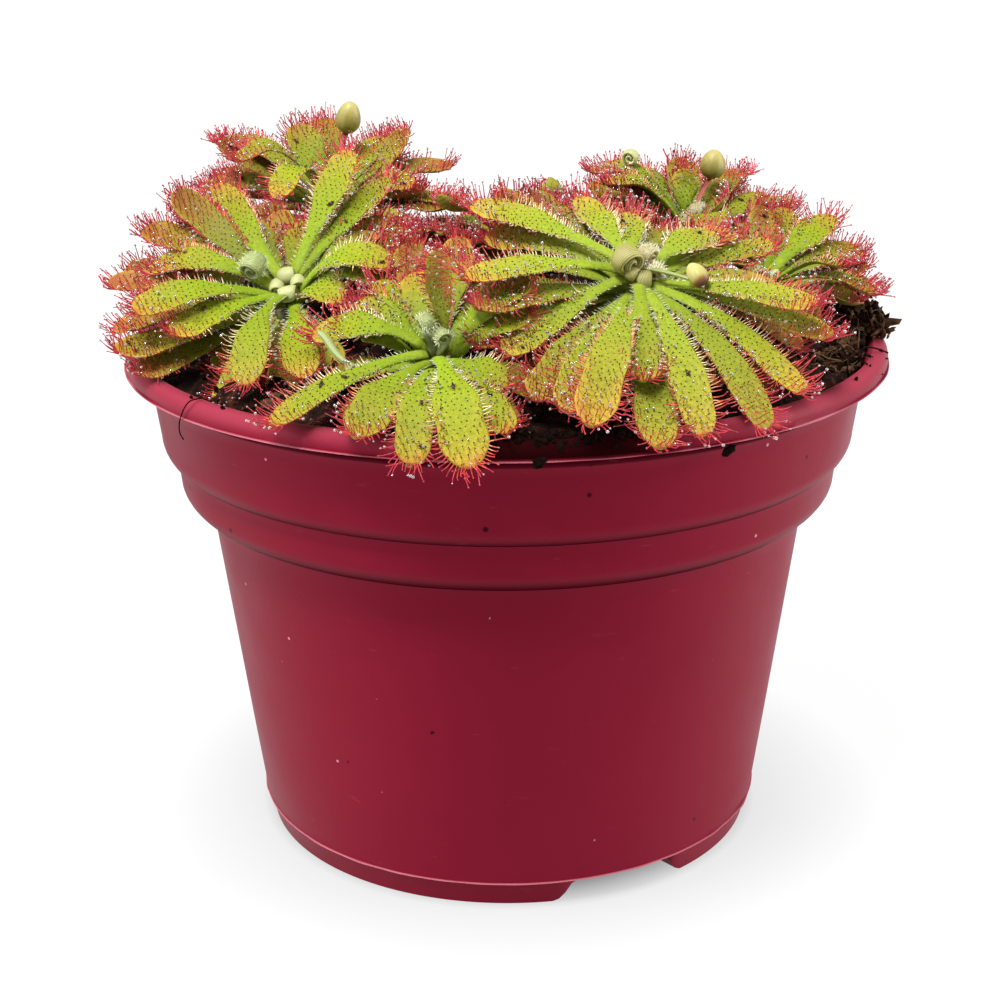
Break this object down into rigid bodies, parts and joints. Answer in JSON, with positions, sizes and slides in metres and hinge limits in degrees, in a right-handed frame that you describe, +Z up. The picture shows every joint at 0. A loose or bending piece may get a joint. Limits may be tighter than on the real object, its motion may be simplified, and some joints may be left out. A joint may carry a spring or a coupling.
{
  "type": "potted sundew",
  "caption": "Clump of sundew rosettes with sticky tentacled leaves, growing in peat in a low round plastic nursery pot.",
  "frame": {"origin": "on the pot's axis, at the underside of its feet", "axes": "+Z up along the pot's axis, -Y towards the side seen first, +X to the right of it"},
  "size_m": [0.0928, 0.0975, 0.0853],
  "materials": {
    "burgundy_plastic": "satin burgundy polypropylene",
    "dark_peat": "damp fibrous peat",
    "sundew_green": "living leaf, lime green to red"
  },
  "bodies": {
    "root": {"pot": "burgundy_plastic", "soil": "dark_peat", "rosette_left": "sundew_green", "rosette_centre": "sundew_green", "rosette_front": "sundew_green", "rosette_back_right": "sundew_green", "rosette_back_left": "sundew_green", "rosette_right": "sundew_green", "rosette_middle": "sundew_green"}
  },
  "joints": []
}
